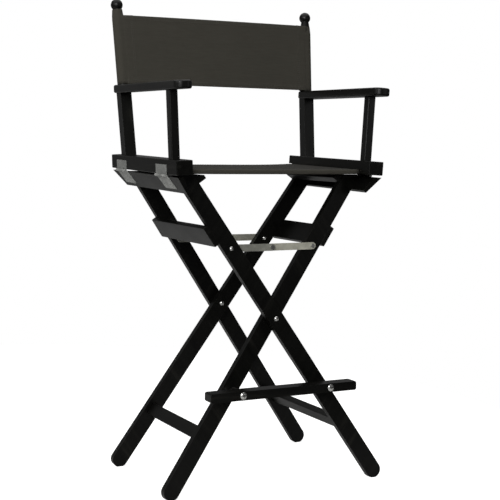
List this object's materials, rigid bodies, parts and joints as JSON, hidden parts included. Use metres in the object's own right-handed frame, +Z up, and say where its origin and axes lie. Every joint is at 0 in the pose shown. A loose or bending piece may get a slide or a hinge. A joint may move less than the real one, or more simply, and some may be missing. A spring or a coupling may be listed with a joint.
{
  "type": "director chair",
  "caption": "Tall folding director chair with crossed leg frames, hinged armrest sides, canvas seat and back, folding stays and a swing-up footrest bar.",
  "frame": {"origin": "floor point under the middle of the chair's box", "axes": "+Z up, -Y the way a sitter faces, +X to the viewer's right when the chair faces the viewer"},
  "size_m": [0.568, 0.4284, 1.1569],
  "materials": {
    "black_wood": "satin black paint",
    "canvas": "plain woven cotton",
    "hinge_steel": "dull zinc",
    "stay_steel": "zinc plated",
    "bright_steel": "nickel plated",
    "black_steel": "black paint"
  },
  "bodies": {
    "outer_frame": {"outer_leg_front": "black_wood", "outer_leg_rear": "black_wood", "outer_hinge_board": "black_wood", "outer_brace": "black_wood", "outer_top_bar": "black_wood", "outer_stretcher": "black_wood", "left_lower_leaf_front": "hinge_steel", "left_lower_leaf_rear": "hinge_steel", "left_hinge_pins": "hinge_steel", "left_lower_screws": "hinge_steel", "pivot_bolts": "bright_steel", "pivot_spacers": "stay_steel", "pivot_nuts": "bright_steel", "outer_stay_pins": "bright_steel", "footrest_bolt": "bright_steel", "footrest_nut": "bright_steel", "footrest_spacer": "stay_steel"},
    "inner_frame": {"inner_leg_front": "black_wood", "inner_leg_rear": "black_wood", "inner_hinge_board": "black_wood", "inner_brace": "black_wood", "inner_top_bar": "black_wood", "inner_stretcher": "black_wood", "right_lower_leaf_front": "hinge_steel", "right_lower_leaf_rear": "hinge_steel", "right_hinge_pins": "hinge_steel", "right_lower_screws": "hinge_steel", "inner_stay_pins": "bright_steel", "footrest_cradle": "black_steel"},
    "left_side": {"left_seat_rail": "black_wood", "left_front_post": "black_wood", "left_back_post": "black_wood", "left_arm": "black_wood", "left_upper_leaf_front": "hinge_steel", "left_upper_leaf_rear": "hinge_steel", "left_upper_screws": "hinge_steel", "left_seat_dowel": "black_wood", "seat_canvas": "canvas", "back_canvas": "canvas"},
    "right_side": {"right_seat_rail": "black_wood", "right_front_post": "black_wood", "right_back_post": "black_wood", "right_arm": "black_wood", "right_upper_leaf_front": "hinge_steel", "right_upper_leaf_rear": "hinge_steel", "right_upper_screws": "hinge_steel", "right_seat_dowel": "black_wood"},
    "front_outer_link": {"front_stay_outer_link": "stay_steel", "front_stay_rivet": "bright_steel"},
    "front_inner_link": {"front_stay_inner_link": "stay_steel"},
    "rear_outer_link": {"rear_stay_outer_link": "stay_steel", "rear_stay_rivet": "bright_steel"},
    "rear_inner_link": {"rear_stay_inner_link": "stay_steel"},
    "footrest": {"footrest_bar": "black_wood", "footrest_catch_pin": "bright_steel"}
  },
  "joints": [
    {"name": "fold", "type": "hinge", "parent": "outer_frame", "child": "inner_frame", "pos_m": [0, 0.00982, 0.403], "axis": [0, -1, 0], "range_deg": [0, 50], "deforming": ["seat_canvas", "back_canvas"]},
    {"name": "left_hinge", "type": "hinge", "parent": "outer_frame", "child": "left_side", "pos_m": [-0.27368, 0.00986, 0.73937], "axis": [0.0008, -0.9999, -0.0157], "range_deg": [0, 22]},
    {"name": "right_hinge", "type": "hinge", "parent": "inner_frame", "child": "right_side", "pos_m": [0.27368, 0.00986, 0.73937], "axis": [-0.0008, -0.9999, -0.0157], "range_deg": [-22, 0]},
    {"name": "front_outer_stay", "type": "hinge", "parent": "outer_frame", "child": "front_outer_link", "pos_m": [-0.11441, -0.1219, 0.56947], "axis": [0.0336, 0.9982, -0.0489], "range_deg": [0, 48.06]},
    {"name": "front_inner_stay", "type": "hinge", "parent": "inner_frame", "child": "front_inner_link", "pos_m": [0.11441, -0.1219, 0.56947], "axis": [0.0336, -0.9982, 0.0489], "range_deg": [0, 48.06]},
    {"name": "rear_outer_stay", "type": "hinge", "parent": "outer_frame", "child": "rear_outer_link", "pos_m": [-0.11441, 0.14154, 0.56947], "axis": [-0.0336, 0.9982, 0.0489], "range_deg": [0, 48.06]},
    {"name": "rear_inner_stay", "type": "hinge", "parent": "inner_frame", "child": "rear_inner_link", "pos_m": [0.11441, 0.14154, 0.56947], "axis": [-0.0336, -0.9982, -0.0489], "range_deg": [0, 48.06]},
    {"name": "footrest_swing", "type": "hinge", "parent": "outer_frame", "child": "footrest", "pos_m": [0.12003, -0.19399, 0.24], "axis": [0, 1, 0], "range_deg": [0, 48]}
  ],
  "couplings": [
    {"joint": "left_hinge", "follows": "fold", "ratio": 0.44},
    {"joint": "right_hinge", "follows": "fold", "ratio": -0.44},
    {"joint": "front_outer_stay", "follows": "fold", "ratio": 0.9612},
    {"joint": "front_inner_stay", "follows": "fold", "ratio": 0.9612},
    {"joint": "rear_outer_stay", "follows": "fold", "ratio": 0.9612},
    {"joint": "rear_inner_stay", "follows": "fold", "ratio": 0.9612}
  ]
}
